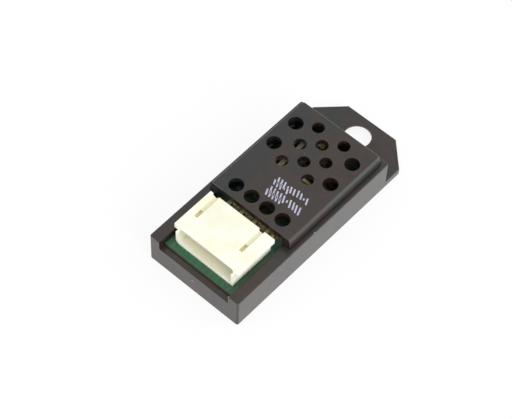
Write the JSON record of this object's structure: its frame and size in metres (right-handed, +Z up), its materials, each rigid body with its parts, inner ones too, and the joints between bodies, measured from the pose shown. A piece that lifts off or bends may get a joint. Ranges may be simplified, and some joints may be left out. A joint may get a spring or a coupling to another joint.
{
  "type": "refrigerator humidity sensor",
  "caption": "Small humidity sensor module: flat black case with a vented cover, a screw flange with one hole, a circuit board and an ivory side-entry connector.",
  "frame": {"origin": "underside of the case, in the middle of the whole length and width, flange included", "axes": "+X from the connector to the flange with the screw hole, +Z up through the vented cover"},
  "size_m": [0.0408, 0.0176, 0.0084],
  "materials": {
    "case_plastic": "moulded black plastic, satin, with fine ejector and flow marks",
    "board_laminate": "green solder mask on glass-filled laminate",
    "connector_plastic": "ivory moulded nylon, semi-gloss",
    "element_plastic": "beige moulded plastic, matt",
    "element_ceramic": "fired alumina, matt",
    "printed_gold": "fired gold print",
    "sensing_polymer": "thin amber polymer film",
    "tinned_lead": "bright tin plate",
    "solder": "solder, smooth and bright",
    "contact_metal": "plated brass",
    "chip_moulding": "black moulding compound, matt",
    "resistor_ceramic": "black glaze over alumina",
    "capacitor_ceramic": "tan fired ceramic",
    "thermistor_ceramic": "dark fired ceramic"
  },
  "bodies": {
    "root": {"amplifier_chip": "chip_moulding", "amplifier_chip_leads": "tinned_lead", "case_base": "case_plastic", "case_cover": "case_plastic", "chip_capacitor_1": "capacitor_ceramic", "chip_capacitor_1_caps": "tinned_lead", "chip_capacitor_2": "capacitor_ceramic", "chip_capacitor_2_caps": "tinned_lead", "chip_capacitor_3": "capacitor_ceramic", "chip_capacitor_3_caps": "tinned_lead", "chip_resistor_1": "resistor_ceramic", "chip_resistor_1_caps": "tinned_lead", "chip_resistor_2": "resistor_ceramic", "chip_resistor_2_caps": "tinned_lead", "chip_resistor_3": "resistor_ceramic", "chip_resistor_3_caps": "tinned_lead", "chip_resistor_4": "resistor_ceramic", "chip_resistor_4_caps": "tinned_lead", "circuit_board": "board_laminate", "comb_electrode_front": "printed_gold", "comb_electrode_rear": "printed_gold", "connector_housing": "connector_plastic", "contact_pin_1": "contact_metal", "contact_pin_2": "contact_metal", "contact_pin_3": "contact_metal", "contact_pin_4": "contact_metal", "element_lead_front": "tinned_lead", "element_lead_rear": "tinned_lead", "element_lead_solder": "solder", "humidity_element_frame": "element_plastic", "humidity_element_plate": "element_ceramic", "pin_solder_1": "solder", "pin_solder_2": "solder", "pin_solder_3": "solder", "pin_solder_4": "solder", "sensing_film": "sensing_polymer", "thermistor": "thermistor_ceramic", "thermistor_caps": "tinned_lead", "voltage_regulator": "chip_moulding", "voltage_regulator_leads": "tinned_lead"}
  },
  "joints": []
}
